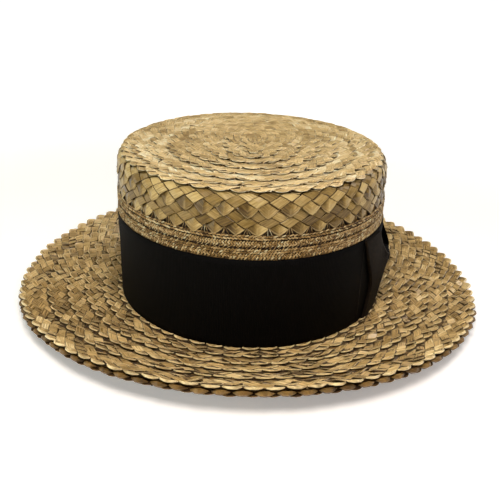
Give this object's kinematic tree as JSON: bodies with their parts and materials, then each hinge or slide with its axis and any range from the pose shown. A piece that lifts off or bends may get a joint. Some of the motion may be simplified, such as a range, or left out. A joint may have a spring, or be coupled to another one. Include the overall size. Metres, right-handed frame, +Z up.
{
  "type": "straw boater hat",
  "caption": "Straw boater hat: flat-topped oval crown and wide double brim of sewn straw plait, fancy braid on the crown's side, black grosgrain ribbon band and flat side bow.",
  "frame": {"origin": "centre of the underside, on the surface that the hat rests on", "axes": "+Z up through the crown, -Y to the front of the hat, +X to the wearer's left, where the bow is"},
  "size_m": [0.3064, 0.3372, 0.1011],
  "materials": {
    "straw_tip": "varnished plaited straw, satin",
    "straw_side": "varnished plaited straw, satin",
    "straw_braid": "fine straw braid, satin",
    "straw_brim": "varnished plaited straw, satin",
    "ribbon": "black grosgrain ribbon, fine upright ribs"
  },
  "bodies": {
    "root": {"crown_tip": "straw_tip", "side_plait": "straw_side", "braid_upper": "straw_braid", "braid_lower": "straw_braid", "crown_base": "straw_side", "brim": "straw_brim", "brim_under": "straw_brim", "hat_band": "ribbon", "bow_loop_front": "ribbon", "bow_loop_back": "ribbon", "bow_knot": "ribbon"}
  },
  "joints": []
}
